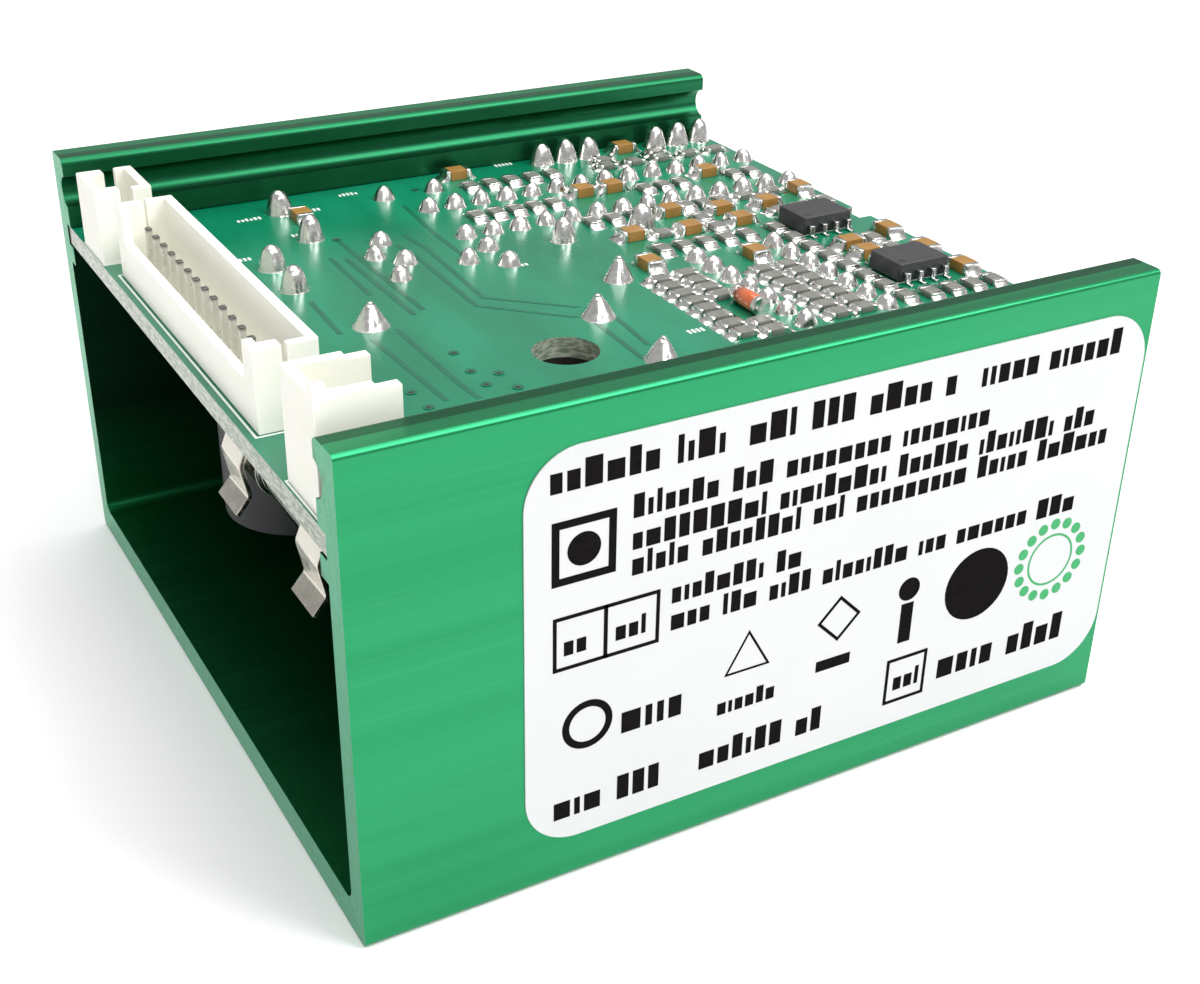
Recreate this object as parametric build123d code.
from build123d import *
import os
from math import cos, radians, sin

# Driver module of a built-in ultrasonic scaler, in millimetres.
# The origin is at the centre of the channel's underside. X runs along the channel, away from the
# connector end, Y from the labelled wall to the back wall, and Z upwards.

# ---------------------------------------------------------------- driving dimensions

# Channel extrusion
channel_length = 63.0
channel_width = 64.0
channel_height = 36.0
wall_thickness = 2.0
floor_thickness = 2.4
floor_corner_radius = 1.0
outer_corner_radius = 0.4
lip_reach = 3.2
lip_depth = 1.5
lip_round = 0.6
rib_reach = 3.2
upper_rib_height = 1.8
lower_rib_height = 1.6

# Circuit board, and its fit in the slots
board_sink = 6.0
board_thickness = 1.6
slot_clearance = 0.1
board_side_clearance = 0.2
board_end_clearance = 0.1
notch_length = 2.6
notch_depth = 1.2
notch_place = 2.1
lead_hole_clearance = 0.1

# Label
label_length = 51.0
label_height = 29.8
label_thickness = 0.1
label_corner_radius = 4.0
label_end_margin = 0.3
label_low_edge = 3.4

# Wire-to-board headers with a 2.0 mm pitch
pin_pitch = 2.0
pin_side = 0.5
header_depth = 4.5
header_height = 6.0
header_floor = 1.2
header_wall = 0.75
header_end_wall = 0.6
header_end_margin = 1.95
header_post = 2.0
header_post_wall = 1.1
header_front_height = 3.2
main_header_slot = 0.35
pump_header_slot = 1.0
pin_height = 4.3
pin_setback = 1.95
main_pin_count = 15
main_header_setback = 0.8
main_header_y = 0.0
pump_pin_count = 2
pump_header_setback = 0.1
pump_header_edge_gap = 4.95

# Taller handpiece header, open towards the board
tall_header_setback = 0.3
tall_header_edge_gap = 1.55
tall_header_depth = 5.5
tall_header_length = 5.5
tall_header_height = 7.9
tall_header_floor = 1.4
tall_wall = 0.75
tall_arm_drop = 0.25
tall_step_length = 1.6
tall_key_height = 0.6
tall_key_width = 0.9
tall_pin_count = 2
tall_pin_pitch = 2.5
tall_pin_height = 5.6

# Solder
solder_tip_radius = 0.28
joint_radius = 0.8
joint_height = 1.2
tall_joint_radius = 0.95
tall_joint_height = 1.8
large_joint_radius = 1.3
large_joint_height = 1.9
tail_joint_radius = 0.7
tail_joint_height = 1.1

# Surface-mount chips: capacitors, resistors and two eight-lead packages
capacitor_length = 2.4
capacitor_width = 1.5
capacitor_height = 0.9
resistor_length = 1.9
resistor_width = 1.2
resistor_height = 0.5
terminal_length = 0.4
chip_body_length = 4.9
chip_body_width = 3.9
chip_body_height = 1.45
chip_stand_off = 0.15
chip_lead_pitch = 1.27
chip_lead_width = 0.42
chip_lead_thickness = 0.2
chip_lead_reach = 1.05
chip_foot_length = 0.6
diode_radius = 0.75
diode_glass_length = 2.4
diode_cap_length = 0.5

# Dual-in-line chips under the board
row_pitch = 2.54
row_spacing = 7.62
dip_width = 6.4
dip_height = 3.3
dip_stand_off = 0.6
dip_end_overhang = 0.85
dip_lead_radius = 0.25
dip_shoulder_width = 1.3
dip_shoulder_thickness = 0.25
controller_row_count = 14
controller_x = 13.9
controller_y = 15.8
logic_row_count = 7
logic_x = 15.6
logic_y = -9.15

# Power transistors on the back wall
transistor_spacing = 11.2
transistor_end_gap = 0.1
transistor_lead_shift = (0.0, 1.3)
transistor_width = 10.0
transistor_case_height = 9.2
transistor_case_depth = 4.4
tab_height = 15.4
tab_thickness = 1.3
tab_hole_radius = 1.85
tab_hole_drop = 12.7
lead_plane_depth = 2.5
transistor_pitch = 2.54
transistor_lead_width = 0.7
transistor_lead_thickness = 0.5
transistor_drop = 4.0
lead_bend_height = 1.6
pad_thickness = 0.25
pad_margin = 0.2
pad_clearance = 0.05

# Crystal, capacitors and resistor under the board
crystal_x = -2.4
crystal_y = 24.4
crystal_length = 11.2
crystal_depth = 4.6
crystal_height = 3.6
crystal_pitch = 4.88
reservoir_x = -19.6
reservoir_y = 9.65
reservoir_radius = 6.25
reservoir_height = 18.0
reservoir_pitch = 5.0
sleeve_thickness = 0.15
sleeve_lip = 0.9
can_recess = 0.3
timing_places = ((-10.5, 12.3), (-10.5, 7.1))
timing_radius = 2.5
timing_height = 9.0
timing_pitch = 3.4
timing_turn = 60.0
film_x = -14.4
film_y = 21.2
film_length = 10.0
film_depth = 5.0
film_height = 10.5
film_pitch = 7.5
resistor_x = 8.1
resistor_y = 7.5
resistor_span = 7.62
resistor_radius = 1.3
resistor_body_length = 5.0
resistor_drop = 2.2
wire_radius = 0.3

# Output choke: two E-shaped ferrite halves around a wound bobbin
choke_x = -6.65
choke_y = -2.4
choke_pin_span = 21.1
core_length = 18.0
core_height = 17.0
core_depth = 5.0
core_back = 2.4
core_leg = 2.6
centre_leg = 4.6
bobbin_wall = 0.6
bobbin_clearance = 0.1
bobbin_rail_height = 2.2
bobbin_rail_overhang = 1.2
choke_winding_depth = 1.5
choke_width = 7.9
choke_drop = 1.0
pin_radius = 0.45

# Tuning coil under the access hole
access_x = -6.6
access_y = -13.0
access_radius = 2.5
former_side = 12.8
former_base = 1.6
former_bore_clearance = 0.05
former_tube_radius = 4.0
former_flange_radius = 6.2
former_flange_thickness = 0.9
former_height = 15.0
former_flange_gap = 1.0
coil_pin_x = 5.3
coil_pin_y = 4.6
coil_winding_radius = 5.9
core_radius = 2.5
core_run_length = 6.0
core_bore_radius = 1.05
screw_head_margin = 0.1
screw_head_height = 1.6
screw_stem_radius = 1.0
screw_collar_radius = 1.7
screw_collar_height = 0.6
screw_gap = 0.05
screw_slot_width = 0.7
screw_slot_depth = 0.9
screw_depth = 4.6

# Trimmer
trimmer_x = -3.2
trimmer_y = 6.5
trimmer_side = 6.4
trimmer_height = 4.5
trimmer_pocket_depth = 1.4
trimmer_pocket_radius = 2.3
rotor_gap = 0.05
rotor_slot_width = 0.6
rotor_slot_depth = 0.7
rotor_proud = 0.2
trimmer_pin_reach = 1.8
trimmer_pin_spread = 2.0

# Fuse and its clips
fuse_setback = 6.2
fuse_y = -10.1
fuse_drop = 6.9
fuse_length = 20.0
fuse_cap_radius = 2.6
fuse_cap_length = 5.0
fuse_cap_wall = 0.25
fuse_tube_wall = 0.7
fuse_fit = 0.02
fuse_wire_radius = 0.12
clip_width = 4.0
clip_thickness = 0.4
clip_clearance = 0.06
clip_bulge = 0.5
clip_flare = 1.1
clip_base_gap = 0.3
clip_base_half = 2.2
clip_leg_offset = 0.6
clip_leg_spread = 2.8
clip_leg_width = 1.0
clip_centre_spacing = 15.6

# ---------------------------------------------------------------- derived places

half_length = channel_length / 2
half_width = channel_width / 2
board_top = channel_height - board_sink
board_bottom = board_top - board_thickness
board_half_length = half_length - board_end_clearance
board_half_width = half_width - wall_thickness - board_side_clearance
slot_top = board_top + slot_clearance
slot_bottom = board_bottom - slot_clearance
wall_inner_face = half_width - wall_thickness
main_header_x = -board_half_length + main_header_setback
pump_header_x = -board_half_length + pump_header_setback
pump_header_length = (pump_pin_count - 1) * pin_pitch + 2 * header_end_margin
pump_header_y = board_half_width - pump_header_edge_gap - pump_header_length / 2
tall_header_x = -board_half_length + tall_header_setback
tall_header_y = -board_half_width + tall_header_edge_gap + tall_header_length / 2
fuse_x = -board_half_length + fuse_setback
fuse_z = board_bottom - fuse_drop
former_bore_radius = core_radius + former_bore_clearance
screw_head_radius = core_radius - screw_head_margin
choke_top = board_bottom - choke_drop
choke_z = choke_top - core_height / 2
transistor_y = wall_inner_face - pad_clearance - pad_thickness - lead_plane_depth
transistor_top = board_bottom - transistor_drop
last_transistor = board_half_length - transistor_end_gap - transistor_width / 2
transistor_places = (last_transistor - transistor_spacing, last_transistor)


# ---------------------------------------------------------------- shared shapes


def block(x_range, y_range, z_range):
    """A box between two values on each axis."""
    size = [high - low for low, high in (x_range, y_range, z_range)]
    middle = [(high + low) / 2 for low, high in (x_range, y_range, z_range)]
    return Pos(*middle) * Box(*size)


def centred_block(centre, size):
    """A box of the given size about its centre."""
    return Pos(*centre) * Box(*size)


def upright(x, y, z_range, radius):
    """A vertical round rod."""
    low, high = z_range
    return Pos(x, y, (low + high) / 2) * Cylinder(radius, high - low)


def along_x(centre, length, radius):
    """A round rod that lies along X."""
    return Pos(*centre) * Rot(0, 90, 0) * Cylinder(radius, length)


def along_y(centre, length, radius):
    """A round rod that lies along Y."""
    return Pos(*centre) * Rot(90, 0, 0) * Cylinder(radius, length)


def group(solids):
    """Separate solids that share one node."""
    return Compound(children=list(solids))


def spaced(count, pitch):
    """Places of a centred row."""
    return [(index - (count - 1) / 2) * pitch for index in range(count)]


# ---------------------------------------------------------------- lead places, shared with the board


def dip_leads(x, y, count, turned):
    """Lead places of a dual-in-line chip: along X, or along Y when turned."""
    places = []
    for along in spaced(count, row_pitch):
        for across in (-row_spacing / 2, row_spacing / 2):
            places.append((x + across, y + along) if turned else (x + along, y + across))
    return places


controller_leads_at = dip_leads(controller_x, controller_y, controller_row_count, False)
logic_leads_at = dip_leads(logic_x, logic_y, logic_row_count, True)
transistor_leads_at = [
    (place + shift + offset, transistor_y)
    for place, shift in zip(transistor_places, transistor_lead_shift)
    for offset in spaced(3, transistor_pitch)
]
crystal_leads_at = [(crystal_x + offset, crystal_y) for offset in spaced(2, crystal_pitch)]
reservoir_leads_at = [(reservoir_x, reservoir_y + offset) for offset in spaced(2, reservoir_pitch)]
timing_leads_at = [
    (x + offset * cos(radians(timing_turn)), y + offset * sin(radians(timing_turn)))
    for x, y in timing_places
    for offset in spaced(2, timing_pitch)
]
film_leads_at = [(film_x, film_y + offset) for offset in spaced(2, film_pitch)]
resistor_leads_at = [(resistor_x + offset, resistor_y) for offset in spaced(2, resistor_span)]
choke_pins_at = [(choke_x + offset, choke_y) for offset in spaced(2, choke_pin_span)]
coil_pins_at = [(access_x + coil_pin_x, access_y + side * coil_pin_y) for side in (-1, 1)]
trimmer_pins_at = [
    (trimmer_x - trimmer_pin_reach, trimmer_y),
    (trimmer_x + trimmer_pin_reach / 2, trimmer_y - trimmer_pin_spread),
    (trimmer_x + trimmer_pin_reach / 2, trimmer_y + trimmer_pin_spread),
]
clip_centres_y = [fuse_y + offset for offset in spaced(2, clip_centre_spacing)]
clip_legs_at = [
    (fuse_x + clip_leg_offset, y + offset) for y in clip_centres_y for offset in spaced(2, clip_leg_spread)
]
main_pins_at = [
    (main_header_x + pin_setback, main_header_y + offset) for offset in spaced(main_pin_count, pin_pitch)
]
pump_pins_at = [
    (pump_header_x + pin_setback, pump_header_y + offset) for offset in spaced(pump_pin_count, pin_pitch)
]
tall_pins_at = [
    (tall_header_x + tall_header_depth / 2, tall_header_y + offset)
    for offset in spaced(tall_pin_count, tall_pin_pitch)
]


# ---------------------------------------------------------------- channel, label and board


def channel_half_face():
    """Section of the channel's back half, in a plane whose x is Y and whose y is Z."""
    neck_top = channel_height - lip_depth
    neck_low = slot_top + upper_rib_height
    rib_low = slot_bottom - lower_rib_height
    lip_y = half_width - lip_reach
    rib_y = half_width - rib_reach
    wall_y = wall_inner_face
    with BuildSketch() as section:
        with BuildLine():
            Line((0, 0), (half_width - outer_corner_radius, 0))
            RadiusArc(
                (half_width - outer_corner_radius, 0),
                (half_width, outer_corner_radius),
                -outer_corner_radius,
            )
            Line((half_width, outer_corner_radius), (half_width, channel_height - outer_corner_radius))
            RadiusArc(
                (half_width, channel_height - outer_corner_radius),
                (half_width - outer_corner_radius, channel_height),
                -outer_corner_radius,
            )
            Line((half_width - outer_corner_radius, channel_height), (lip_y + lip_round, channel_height))
            RadiusArc((lip_y + lip_round, channel_height), (lip_y, channel_height - lip_round), -lip_round)
            Line((lip_y, channel_height - lip_round), (lip_y, neck_top))
            ThreePointArc((lip_y, neck_top), (wall_y, (neck_top + neck_low) / 2), (rib_y, neck_low))
            Polyline(
                (rib_y, neck_low),
                (rib_y, slot_top),
                (wall_y, slot_top),
                (wall_y, slot_bottom),
                (rib_y, slot_bottom),
                (rib_y, rib_low),
                (wall_y, rib_low),
                (wall_y, floor_thickness + floor_corner_radius),
            )
            RadiusArc(
                (wall_y, floor_thickness + floor_corner_radius),
                (wall_y - floor_corner_radius, floor_thickness),
                floor_corner_radius,
            )
            Line((wall_y - floor_corner_radius, floor_thickness), (0, floor_thickness))
            Line((0, floor_thickness), (0, 0))
        make_face()
    return section.sketch


def chassis_channel():
    half = channel_half_face()
    section = half + mirror(half, Plane.YZ)
    end_plane = Plane(origin=(-half_length, 0, 0), x_dir=(0, 1, 0), z_dir=(1, 0, 0))
    return extrude(end_plane * section, channel_length)


def rating_label():
    centre_x = half_length - label_end_margin - label_length / 2
    centre_z = label_low_edge + label_height / 2
    outline = RectangleRounded(label_length, label_height, label_corner_radius)
    front = Plane(origin=(centre_x, -half_width, centre_z), x_dir=(1, 0, 0), z_dir=(0, -1, 0))
    return extrude(front * outline, label_thickness)


def lead_holes():
    """Every hole that a lead passes through, as (x, y, radius)."""
    round_leads = (
        (controller_leads_at + logic_leads_at, dip_lead_radius),
        (transistor_leads_at, max(transistor_lead_width, transistor_lead_thickness) * 0.62),
        (crystal_leads_at + reservoir_leads_at + timing_leads_at + film_leads_at, wire_radius),
        (resistor_leads_at + trimmer_pins_at, wire_radius),
        (choke_pins_at + coil_pins_at, pin_radius),
        (main_pins_at + pump_pins_at + tall_pins_at, pin_side * 0.72),
        (clip_legs_at, clip_leg_width * 0.52),
    )
    holes = []
    for places, radius in round_leads:
        holes += [(x, y, radius + lead_hole_clearance) for x, y in places]
    return holes


def circuit_board():
    board = block(
        (-board_half_length, board_half_length),
        (-board_half_width, board_half_width),
        (board_bottom, board_top),
    )
    depth = (board_bottom - 1, board_top + 1)
    cutters = [upright(x, y, depth, radius) for x, y, radius in lead_holes()]
    cutters.append(upright(access_x, access_y, depth, access_radius))
    cutters.append(
        block(
            (board_half_length - notch_depth, board_half_length + 1),
            (notch_place - notch_length / 2, notch_place + notch_length / 2),
            depth,
        )
    )
    return board - cutters


# ---------------------------------------------------------------- headers


def pitch_header(x, y, pin_count, front_height, slot):
    """Shrouded header: corner posts at the front, slotted ends and a full back wall."""
    length = (pin_count - 1) * pin_pitch + 2 * header_end_margin
    low = y - length / 2
    high = y + length / 2
    z_range = (board_top, board_top + header_height)
    back = x + header_depth
    body = block((x, back), (low, high), (board_top, board_top + header_floor))
    body += block((back - header_wall, back), (low, high), z_range)
    body += block((x, x + header_wall), (low, high), (board_top, board_top + front_height))
    for end, inward in ((low, 1), (high, -1)):
        post_front = sorted((end, end + inward * header_post))
        post_side = sorted((end, end + inward * header_post_wall))
        end_wall = sorted((end, end + inward * header_end_wall))
        body += block((x, x + header_wall), post_front, z_range)
        body += block((x, x + header_post), post_side, z_range)
        body += block((x + header_post + slot, back), end_wall, z_range)
    middle_z = board_top + header_floor / 2
    hole_size = (pin_side, pin_side, 2 * header_floor)
    holes = [
        centred_block((x + pin_setback, y + offset, middle_z), hole_size)
        for offset in spaced(pin_count, pin_pitch)
    ]
    return body - holes


def straight_pins(places, height):
    """Square pins that run from the board's underside to a height above it."""
    z_range = (board_bottom, board_top + height)
    half = pin_side / 2
    return group(block((x - half, x + half), (y - half, y + half), z_range) for x, y in places)


def tall_header():
    """Header with a tall front wall and two arms, open towards the board."""
    x = tall_header_x
    back = x + tall_header_depth
    low = tall_header_y - tall_header_length / 2
    high = tall_header_y + tall_header_length / 2
    top = board_top + tall_header_height
    step_x = back - tall_step_length
    body = block((x, back), (low, high), (board_top, board_top + tall_header_floor))
    body += block((x, x + tall_wall), (low, high), (board_top, top))
    for y_range in ((low, low + tall_wall), (high - tall_wall, high)):
        body += block((x, step_x), y_range, (board_top, top))
        body += block((step_x, back), y_range, (board_top, top - tall_arm_drop))
    key = (top - tall_wall, top + tall_key_height)
    body += block((x, x + tall_key_width), (low, low + tall_key_width), key)
    middle_z = board_top + tall_header_floor / 2
    hole_size = (pin_side, pin_side, 2 * tall_header_floor)
    holes = [centred_block((px, py, middle_z), hole_size) for px, py in tall_pins_at]
    return body - holes


# ---------------------------------------------------------------- solder


def cones_above(places, radius, height):
    """Solder cones on the board's upper face, over the ends of the leads."""
    return group(
        Pos(x, y, board_top + height / 2) * Cone(radius, solder_tip_radius, height) for x, y in places
    )


def cones_below(places, radius, height):
    """Solder cones on the board's underside, over the ends of the header pins."""
    return group(
        Pos(x, y, board_bottom - height / 2) * Cone(solder_tip_radius, radius, height) for x, y in places
    )


# ---------------------------------------------------------------- surface-mount parts

# Placement on the upper face: x, y and the turn about Z in degrees. The capacitors are placed one by
# one, and the resistors stand in banks.
between_transistors = (sum(transistor_places) + sum(transistor_lead_shift)) / 2
capacitor_places = (
    (-13.4, 22.2, 90),
    (3.4, 26.9, 0),
    (between_transistors, 27.2, 0),
    (11.4, 17.2, 0),
    (14.4, 17.2, 0),
    (24.6, 17.2, 0),
    (29.6, 9.2, 90),
    (15.6, 9.0, 0),
    (20.0, 7.6, 0),
    (20.0, 4.4, 0),
    (14.8, 4.4, 0),
    (24.6, 7.2, 0),
    (9.6, 5.2, 0),
    (16.4, -3.2, 90),
    (7.4, -1.4, 90),
    (24.8, -4.8, 0),
    (24.8, -7.2, 0),
    (29.8, -3.6, 90),
    (29.8, -8.6, 90),
    (29.8, -13.4, 90),
)
# Each bank: first x, first y, step in x, step in y, count and turn.
resistor_banks = (
    (3.2, 23.4, 2.1, 0.0, 5, 90),
    (0.2, 15.8, 1.9, 0.0, 5, 90),
    (17.2, 15.8, 1.9, 0.0, 3, 90),
    (26.8, 15.8, 1.9, 0.0, 2, 90),
    (17.4, 23.2, 3.0, 0.0, 5, 0),
    (18.0, 24.9, 5.8, 0.0, 2, 0),
    (8.4, 9.9, 2.1, 0.0, 3, 90),
    (17.9, 9.9, 1.8, 0.0, 3, 90),
    (24.0, 9.9, 3.0, 0.0, 2, 0),
    (10.2, 1.3, 2.1, 0.0, 5, 90),
    (17.3, 6.4, 0.0, -2.4, 2, 90),
    (12.2, 4.6, 0.0, -1.8, 1, 0),
    (24.6, 5.2, 2.6, 0.0, 2, 0),
    (29.8, 5.6, 0.0, 0.0, 1, 90),
    (6.4, -4.6, 0.0, -1.7, 8, 0),
    (8.9, -4.4, 0.0, -1.7, 4, 0),
    (8.7, -15.4, 0.0, -1.7, 2, 0),
    (14.9, -6.4, 0.0, -1.7, 7, 0),
    (17.3, -6.4, 0.0, -1.7, 7, 0),
    (21.7, 1.4, 0.0, -2.5, 8, 90),
    (27.6, -4.4, 0.0, -2.6, 2, 90),
    (23.9, -16.6, 2.1, 0.0, 4, 90),
)
driver_chip_places = ((25.4, 1.0), (25.6, -11.6))
diode_place = (9.6, -12.4)


def bank_places():
    """Resistor places of every bank, as (x, y, turn)."""
    return [
        (x + index * step_x, y + index * step_y, turn)
        for x, y, step_x, step_y, count, turn in resistor_banks
        for index in range(count)
    ]


def chip_bodies(places, length, width, height):
    """Middles of two-terminal chips."""
    middle = length - 2 * terminal_length
    return group(
        Pos(x, y, board_top + height / 2) * Rot(0, 0, turn) * Box(middle, width, height)
        for x, y, turn in places
    )


def chip_terminals():
    """Metal ends of the chip capacitors and chip resistors."""
    kinds = (
        (capacitor_places, capacitor_length, capacitor_width, capacitor_height),
        (bank_places(), resistor_length, resistor_width, resistor_height),
    )
    ends = []
    for places, length, width, height in kinds:
        for x, y, turn in places:
            for side in (-1, 1):
                offset = side * (length - terminal_length) / 2
                ends.append(
                    Pos(x, y, board_top + height / 2)
                    * Rot(0, 0, turn)
                    * Pos(offset, 0, 0)
                    * Box(terminal_length, width, height)
                )
    return group(ends)


def driver_chip_bodies():
    z = board_top + chip_stand_off + chip_body_height / 2
    return group(
        Pos(x, y, z) * Box(chip_body_length, chip_body_width, chip_body_height)
        for x, y in driver_chip_places
    )


def driver_chip_leads():
    """Gull-wing leads: a shoulder out of the body, a drop and a foot on the board."""
    shoulder_z = board_top + chip_stand_off + chip_body_height / 2
    leads = []
    for x, y in driver_chip_places:
        for side in (-1, 1):
            body_y = y + side * chip_body_width / 2
            drop_y = body_y + side * (chip_lead_reach - chip_foot_length)
            foot_y = body_y + side * chip_lead_reach
            for offset in spaced(4, chip_lead_pitch):
                x_range = (x + offset - chip_lead_width / 2, x + offset + chip_lead_width / 2)
                half = chip_lead_thickness / 2
                shoulder = block(
                    x_range, sorted((body_y, drop_y + side * half)), (shoulder_z - half, shoulder_z + half)
                )
                drop = block(
                    x_range,
                    sorted((drop_y - side * half, drop_y + side * half)),
                    (board_top, shoulder_z + half),
                )
                foot = block(
                    x_range,
                    sorted((drop_y - side * half, foot_y)),
                    (board_top, board_top + chip_lead_thickness),
                )
                leads.append(shoulder + drop + foot)
    return group(leads)


def glass_diode():
    x, y = diode_place
    return along_y((x, y, board_top + diode_radius), diode_glass_length, diode_radius * 0.94)


def diode_end_caps():
    x, y = diode_place
    reach = (diode_glass_length + diode_cap_length) / 2
    return group(
        along_y((x, y + side * reach, board_top + diode_radius), diode_cap_length, diode_radius)
        for side in (-1, 1)
    )


# ---------------------------------------------------------------- dual-in-line chips


def dip_body(x, y, count, turned):
    length = (count - 1) * row_pitch + 2 * dip_end_overhang
    size = (dip_width, length, dip_height) if turned else (length, dip_width, dip_height)
    return centred_block((x, y, board_bottom - dip_stand_off - dip_height / 2), size)


def dip_lead_set(x, y, count, turned):
    """Leads that leave the body at its middle height, turn up and pass through the board."""
    middle = board_bottom - dip_stand_off - dip_height / 2
    leads = []
    for lead_x, lead_y in dip_leads(x, y, count, turned):
        across = (lead_x - x) if turned else (lead_y - y)
        side = 1 if across > 0 else -1
        body_edge = side * dip_width / 2
        outer = across + side * dip_shoulder_thickness / 2
        span = sorted((body_edge, outer))
        wide = (-dip_shoulder_width / 2, dip_shoulder_width / 2)
        flat = (middle - dip_shoulder_thickness / 2, middle + dip_shoulder_thickness / 2)
        fin = sorted((across - side * dip_shoulder_thickness / 2, outer))
        rise = (flat[0], board_bottom - dip_stand_off / 2)
        if turned:
            shoulder = Pos(x, lead_y, 0) * block(span, wide, flat)
            blade = Pos(x, lead_y, 0) * block(fin, wide, rise)
        else:
            shoulder = Pos(lead_x, y, 0) * block(wide, span, flat)
            blade = Pos(lead_x, y, 0) * block(wide, fin, rise)
        tip = upright(lead_x, lead_y, (rise[1] - 0.3, board_top), dip_lead_radius)
        leads.append(shoulder + blade + tip)
    return group(leads)


# ---------------------------------------------------------------- power transistors


def transistor_bodies():
    back = transistor_y + lead_plane_depth - tab_thickness
    front = transistor_y + lead_plane_depth - transistor_case_depth
    return group(
        block(
            (x - transistor_width / 2, x + transistor_width / 2),
            (front, back),
            (transistor_top - transistor_case_height, transistor_top),
        )
        for x in transistor_places
    )


def transistor_tabs():
    back = transistor_y + lead_plane_depth
    tabs = []
    for x in transistor_places:
        tab = block(
            (x - transistor_width / 2, x + transistor_width / 2),
            (back - tab_thickness, back),
            (transistor_top - tab_height, transistor_top),
        )
        hole = along_y((x, back, transistor_top - tab_hole_drop), 4 * tab_thickness, tab_hole_radius)
        tabs.append(tab - hole)
    return group(tabs)


def transistor_leads():
    """Each lead rises from the case, steps sideways by the lead shift, and passes through the board."""
    half_wide = transistor_lead_width / 2
    half_thick = transistor_lead_thickness / 2
    bend_z = transistor_top + lead_bend_height
    y_range = (transistor_y - half_thick, transistor_y + half_thick)
    leads = []
    for place, shift in zip(transistor_places, transistor_lead_shift):
        for offset in spaced(3, transistor_pitch):
            low_x = place + offset
            high_x = low_x + shift
            low_range = (low_x - half_wide, low_x + half_wide)
            high_range = (high_x - half_wide, high_x + half_wide)
            lead = block(low_range, y_range, (transistor_top, bend_z + half_thick))
            lead += block(
                (low_x - half_wide, high_x + half_wide), y_range, (bend_z - half_thick, bend_z + half_thick)
            )
            lead += block(high_range, y_range, (bend_z - half_thick, board_top))
            leads.append(lead)
    return group(leads)


def transistor_pads():
    back = transistor_y + lead_plane_depth
    half = transistor_width / 2 + pad_margin / 2
    return group(
        block(
            (x - half, x + half),
            (back, back + pad_thickness),
            (transistor_top - tab_height - pad_margin, transistor_top + pad_margin),
        )
        for x in transistor_places
    )


# ---------------------------------------------------------------- crystal, capacitors and resistor


def crystal_can():
    outline = SlotOverall(crystal_length, crystal_depth)
    can = extrude(outline, crystal_height)
    return Pos(crystal_x, crystal_y, board_bottom - crystal_height) * can


def round_leads(places, low):
    """Wires from a height under the board to its upper face."""
    return group(upright(x, y, (low, board_top), wire_radius) for x, y in places)


def reservoir_can():
    low = board_bottom - reservoir_height
    return upright(reservoir_x, reservoir_y, (low, board_bottom), reservoir_radius - sleeve_thickness)


def reservoir_sleeve():
    low = board_bottom - reservoir_height - 0.1
    sleeve = upright(reservoir_x, reservoir_y, (low, board_bottom), reservoir_radius)
    sleeve -= upright(
        reservoir_x, reservoir_y, (low + 0.1, board_bottom), reservoir_radius - sleeve_thickness
    )
    return sleeve - upright(reservoir_x, reservoir_y, (low - 1, low + 1), reservoir_radius - sleeve_lip)


def timing_cans():
    return group(
        upright(x, y, (board_bottom - timing_height, board_bottom), timing_radius) for x, y in timing_places
    )


def film_capacitor():
    return centred_block(
        (film_x, film_y, board_bottom - film_height / 2), (film_depth, film_length, film_height)
    )


def power_resistor():
    centre = (resistor_x, resistor_y, board_bottom - resistor_drop)
    return along_x(centre, resistor_body_length, resistor_radius)


def power_resistor_leads():
    """Wires out of both ends that turn up through the board."""
    z = board_bottom - resistor_drop
    leads = []
    for side in (-1, 1):
        inner = side * resistor_body_length / 2
        outer = side * resistor_span / 2
        run = abs(outer - inner)
        wire = along_x((resistor_x + (inner + outer) / 2, resistor_y, z), run, wire_radius)
        wire += Pos(resistor_x + outer, resistor_y, z) * Sphere(wire_radius)
        wire += upright(resistor_x + outer, resistor_y, (z, board_top), wire_radius)
        leads.append(wire)
    return group(leads)


# ---------------------------------------------------------------- output choke


def core_half(side):
    """One E-shaped half, whose legs meet the other half's in the middle."""
    reach = core_length / 2
    outer = block((0, reach), (-core_depth / 2, core_depth / 2), (-core_height / 2, core_height / 2))
    for direction in (-1, 1):
        window_z = sorted((direction * centre_leg / 2, direction * (core_height / 2 - core_leg)))
        outer -= block((-1, reach - core_back), (-core_depth, core_depth), window_z)
    if side < 0:
        outer = Rot(0, 0, 180) * outer
    return Pos(choke_x, choke_y, choke_z) * outer


def choke_core():
    return group(core_half(side) for side in (-1, 1))


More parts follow.
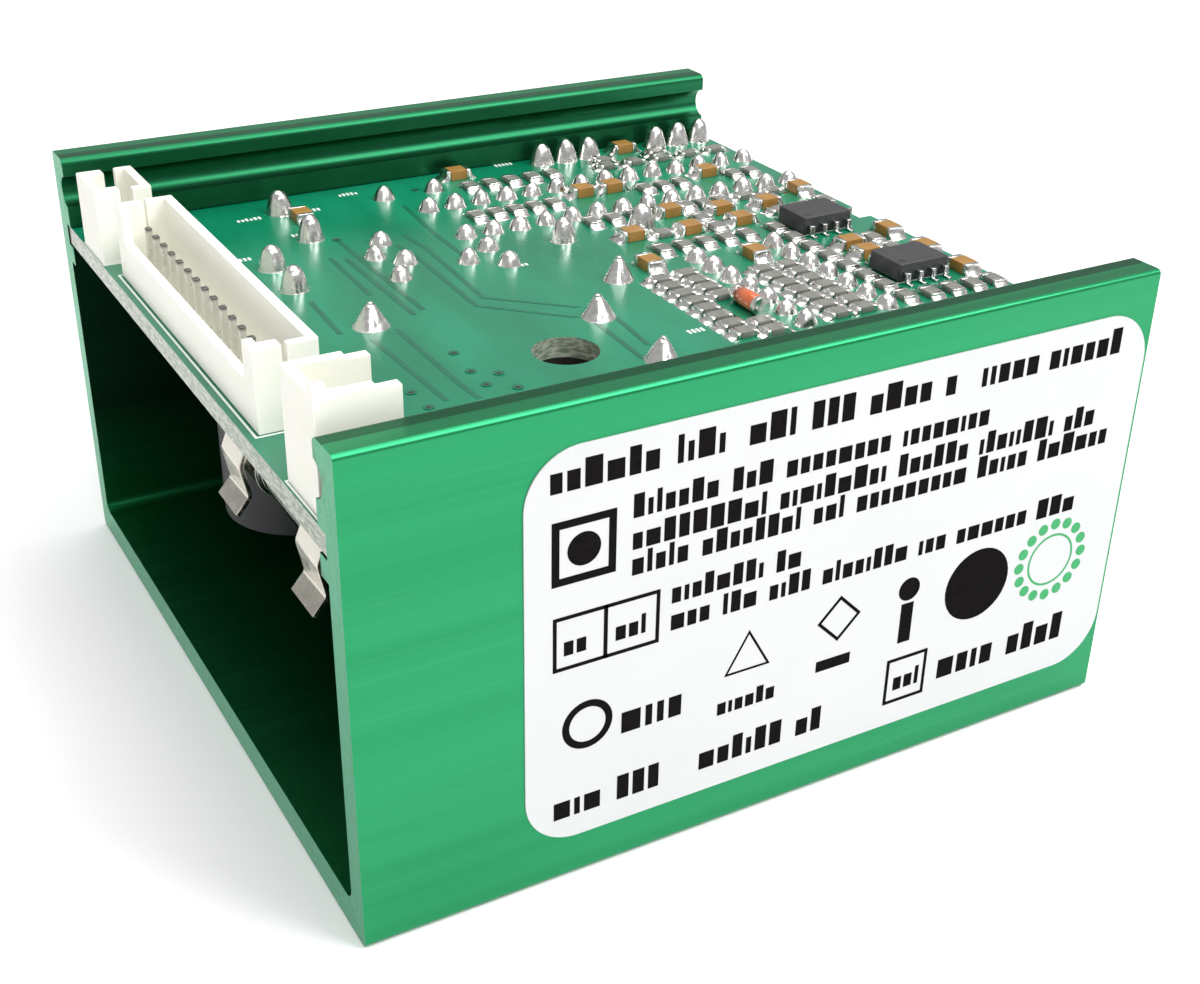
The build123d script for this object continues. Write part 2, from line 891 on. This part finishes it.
def choke_bobbin():
    """Square tube round the centre leg, two flanges, and a rail with a pin at each end."""
    inner = core_length / 2 - core_back - bobbin_clearance
    bore_y = core_depth / 2 + bobbin_clearance
    bore_z = centre_leg / 2 + bobbin_clearance
    flange_z = core_height / 2 - core_leg - bobbin_clearance
    flange_y = choke_width / 2
    tube = block(
        (-inner, inner),
        (-bore_y - bobbin_wall, bore_y + bobbin_wall),
        (-bore_z - bobbin_wall, bore_z + bobbin_wall),
    )
    for side in (-1, 1):
        flange_x = sorted((side * inner, side * (inner - bobbin_wall)))
        tube += block(flange_x, (-flange_y, flange_y), (-flange_z, flange_z))
    tube -= block((-inner - 1, inner + 1), (-bore_y, bore_y), (-bore_z, bore_z))
    rail_low = core_height / 2 - bobbin_rail_height
    rail_end = choke_pin_span / 2 + bobbin_rail_overhang
    rail_start = core_length / 2 + bobbin_clearance
    cheek = (core_depth / 2 + bobbin_clearance, flange_y)
    rails = []
    for side in (-1, 1):
        rails.append(
            block(
                sorted((side * rail_start, side * rail_end)),
                (-flange_y, flange_y),
                (rail_low, core_height / 2 + choke_drop),
            )
        )
        for edge in (-1, 1):
            arm_x = sorted((side * (inner - bobbin_wall), side * rail_end))
            arm_y = sorted((edge * cheek[0], edge * cheek[1]))
            rails.append(block(arm_x, arm_y, (flange_z - bobbin_wall, core_height / 2 + choke_drop)))
    for rail in rails:
        tube += rail
    for pin_x in spaced(2, choke_pin_span):
        tube -= upright(pin_x, 0, (rail_low, core_height), pin_radius)
    return Pos(choke_x, choke_y, choke_z) * tube


def choke_winding():
    inner = core_length / 2 - core_back - bobbin_clearance - bobbin_wall
    bore_y = core_depth / 2 + bobbin_clearance + bobbin_wall
    bore_z = centre_leg / 2 + bobbin_clearance + bobbin_wall
    rise = choke_winding_depth
    bulge = min(rise, choke_width / 2 - bore_y)
    coil = block((-inner, inner), (-bore_y - bulge, bore_y + bulge), (-bore_z - rise, bore_z + rise))
    coil -= block((-inner - 1, inner + 1), (-bore_y, bore_y), (-bore_z, bore_z))
    return Pos(choke_x, choke_y, choke_z) * coil


def choke_pins():
    low = choke_top - bobbin_rail_height
    return group(upright(x, y, (low, board_top), pin_radius) for x, y in choke_pins_at)


# ---------------------------------------------------------------- tuning coil


def coil_former():
    base_low = board_bottom - former_base
    low = board_bottom - former_height
    upper_flange = base_low - former_flange_gap
    body = centred_block(
        (access_x, access_y, board_bottom - former_base / 2), (former_side, former_side, former_base)
    )
    body += upright(access_x, access_y, (low, base_low), former_tube_radius)
    for z in (low, upper_flange - former_flange_thickness):
        body += upright(access_x, access_y, (z, z + former_flange_thickness), former_flange_radius)
    body -= upright(access_x, access_y, (low - 1, board_bottom + 1), former_bore_radius)
    for x, y in coil_pins_at:
        body -= upright(x, y, (base_low - 1, board_bottom + 1), pin_radius)
    return body


def coil_winding():
    low = board_bottom - former_height + former_flange_thickness
    high = board_bottom - former_base - former_flange_gap - former_flange_thickness
    winding = upright(access_x, access_y, (low, high), coil_winding_radius)
    return winding - upright(access_x, access_y, (low - 1, high + 1), former_tube_radius)


def coil_pins():
    low = board_bottom - former_base
    return group(upright(x, y, (low, board_top), pin_radius) for x, y in coil_pins_at)


core_top = board_bottom - screw_depth - screw_head_height - screw_gap
core_low = core_top - core_run_length


def tuning_core():
    core = upright(access_x, access_y, (core_low, core_top), core_radius)
    return core - upright(access_x, access_y, (core_low - 1, core_top + 1), core_bore_radius)


def tuning_screw():
    head_low = core_top + screw_gap
    head_top = head_low + screw_head_height
    collar_top = core_low - screw_gap
    screw = upright(access_x, access_y, (head_low, head_top), screw_head_radius)
    screw += upright(access_x, access_y, (collar_top - screw_collar_height, head_top), screw_stem_radius)
    collar_range = (collar_top - screw_collar_height, collar_top)
    screw += upright(access_x, access_y, collar_range, screw_collar_radius)
    slot = centred_block(
        (access_x, access_y, head_top), (2 * screw_head_radius + 1, screw_slot_width, 2 * screw_slot_depth)
    )
    return screw - slot


# ---------------------------------------------------------------- trimmer


def trimmer_body():
    low = board_bottom - trimmer_height
    body = centred_block(
        (trimmer_x, trimmer_y, board_bottom - trimmer_height / 2),
        (trimmer_side, trimmer_side, trimmer_height),
    )
    pocket_range = (low - 1, low + trimmer_pocket_depth)
    return body - upright(trimmer_x, trimmer_y, pocket_range, trimmer_pocket_radius)


def trimmer_rotor():
    low = board_bottom - trimmer_height
    top = low + trimmer_pocket_depth - rotor_gap
    bottom = low - rotor_proud
    rotor = upright(trimmer_x, trimmer_y, (bottom, top), trimmer_pocket_radius - rotor_gap)
    slot = centred_block(
        (trimmer_x, trimmer_y, bottom),
        (3 * trimmer_pocket_radius / 2, rotor_slot_width, 2 * rotor_slot_depth),
    )
    return rotor - slot


# ---------------------------------------------------------------- fuse and clips


def fuse_tube():
    length = fuse_length - 2 * fuse_cap_wall
    outer = fuse_cap_radius - fuse_cap_wall - fuse_fit
    tube = along_y((fuse_x, fuse_y, fuse_z), length, outer)
    return tube - along_y((fuse_x, fuse_y, fuse_z), length + 1, outer - fuse_tube_wall)


def fuse_end_caps():
    caps = []
    for side in (-1, 1):
        middle = fuse_y + side * (fuse_length - fuse_cap_length) / 2
        cap = along_y((fuse_x, middle, fuse_z), fuse_cap_length, fuse_cap_radius)
        hollow = along_y(
            (fuse_x, middle - side * fuse_cap_wall, fuse_z),
            fuse_cap_length,
            fuse_cap_radius - fuse_cap_wall,
        )
        caps.append(cap - hollow)
    return group(caps)


def fuse_wire():
    return along_y((fuse_x, fuse_y, fuse_z), fuse_length - 2 * fuse_cap_wall, fuse_wire_radius)


def clip_outline():
    """A clip's bent strip, in a plane whose x is X and whose y is Z, about the fuse's axis."""
    half = clip_thickness / 2
    neck = fuse_cap_radius + clip_clearance + half
    base = fuse_cap_radius + clip_base_gap + half
    arm = (
        (clip_base_half, base),
        (neck + clip_bulge, fuse_cap_radius * 0.1),
        (neck, -fuse_cap_radius * 0.85),
        (neck + clip_flare, -fuse_cap_radius * 1.35),
    )
    other_arm = [(-x, y) for x, y in reversed(arm)]
    return trace(FilletPolyline(*other_arm, *arm, radius=0.6), clip_thickness)


def fuse_clip(y):
    plane = Plane(origin=(fuse_x, y + clip_width / 2, fuse_z), x_dir=(1, 0, 0), z_dir=(0, -1, 0))
    clip = extrude(plane * clip_outline(), clip_width)
    foot = fuse_z + fuse_cap_radius + clip_base_gap + clip_thickness / 2
    for offset in spaced(2, clip_leg_spread):
        clip += centred_block(
            (fuse_x + clip_leg_offset, y + offset, (foot + board_top) / 2),
            (clip_thickness, clip_leg_width, board_top - foot),
        )
    return clip


def fuse_clips():
    return group(fuse_clip(y) for y in clip_centres_y)


# ---------------------------------------------------------------- every node, by name

small_joints_at = (
    controller_leads_at + logic_leads_at + timing_leads_at + trimmer_pins_at + crystal_leads_at
)
large_joints_at = choke_pins_at + coil_pins_at
tall_joints_at = (
    reservoir_leads_at + film_leads_at + resistor_leads_at + transistor_leads_at + clip_legs_at
)
header_pins_at = main_pins_at + pump_pins_at + tall_pins_at
dip_middle = board_bottom - dip_stand_off - dip_height / 2

nodes = {
    "chassis_channel": chassis_channel(),
    "rating_label": rating_label(),
    "circuit_board": circuit_board(),
    "main_header_housing": pitch_header(
        main_header_x, main_header_y, main_pin_count, header_front_height, main_header_slot
    ),
    "main_header_pins": straight_pins(main_pins_at, pin_height),
    "pump_header_housing": pitch_header(
        pump_header_x, pump_header_y, pump_pin_count, header_height, pump_header_slot
    ),
    "pump_header_pins": straight_pins(pump_pins_at, pin_height),
    "handpiece_header_housing": tall_header(),
    "handpiece_header_pins": straight_pins(tall_pins_at, tall_pin_height),
    "large_solder_joints": cones_above(large_joints_at, large_joint_radius, large_joint_height),
    "power_solder_joints": cones_above(tall_joints_at, tall_joint_radius, tall_joint_height),
    "chip_solder_joints": cones_above(small_joints_at, joint_radius, joint_height),
    "header_solder_joints": cones_below(header_pins_at, tail_joint_radius, tail_joint_height),
    "chip_capacitors": chip_bodies(capacitor_places, capacitor_length, capacitor_width, capacitor_height),
    "chip_resistors": chip_bodies(bank_places(), resistor_length, resistor_width, resistor_height),
    "chip_terminals": chip_terminals(),
    "driver_chip_bodies": driver_chip_bodies(),
    "driver_chip_leads": driver_chip_leads(),
    "glass_diode": glass_diode(),
    "diode_end_caps": diode_end_caps(),
    "controller_body": dip_body(controller_x, controller_y, controller_row_count, False),
    "controller_leads": dip_lead_set(controller_x, controller_y, controller_row_count, False),
    "logic_body": dip_body(logic_x, logic_y, logic_row_count, True),
    "logic_leads": dip_lead_set(logic_x, logic_y, logic_row_count, True),
    "transistor_bodies": transistor_bodies(),
    "transistor_tabs": transistor_tabs(),
    "transistor_leads": transistor_leads(),
    "transistor_pads": transistor_pads(),
    "crystal_can": crystal_can(),
    "crystal_leads": round_leads(crystal_leads_at, board_bottom),
    "reservoir_can": reservoir_can(),
    "reservoir_sleeve": reservoir_sleeve(),
    "reservoir_leads": round_leads(reservoir_leads_at, board_bottom),
    "timing_cans": timing_cans(),
    "timing_leads": round_leads(timing_leads_at, board_bottom),
    "film_capacitor": film_capacitor(),
    "film_capacitor_leads": round_leads(film_leads_at, board_bottom),
    "power_resistor": power_resistor(),
    "power_resistor_leads": power_resistor_leads(),
    "choke_core": choke_core(),
    "choke_bobbin": choke_bobbin(),
    "choke_winding": choke_winding(),
    "choke_pins": choke_pins(),
    "coil_former": coil_former(),
    "coil_winding": coil_winding(),
    "coil_pins": coil_pins(),
    "tuning_core": tuning_core(),
    "tuning_screw": tuning_screw(),
    "trimmer_body": trimmer_body(),
    "trimmer_pins": round_leads(trimmer_pins_at, board_bottom),
    "trimmer_rotor": trimmer_rotor(),
    "fuse_clips": fuse_clips(),
    "fuse_tube": fuse_tube(),
    "fuse_end_caps": fuse_end_caps(),
    "fuse_wire": fuse_wire(),
}

os.makedirs("parts", exist_ok=True)
for name, shape in nodes.items():
    export_step(shape, f"parts/{name}.step")
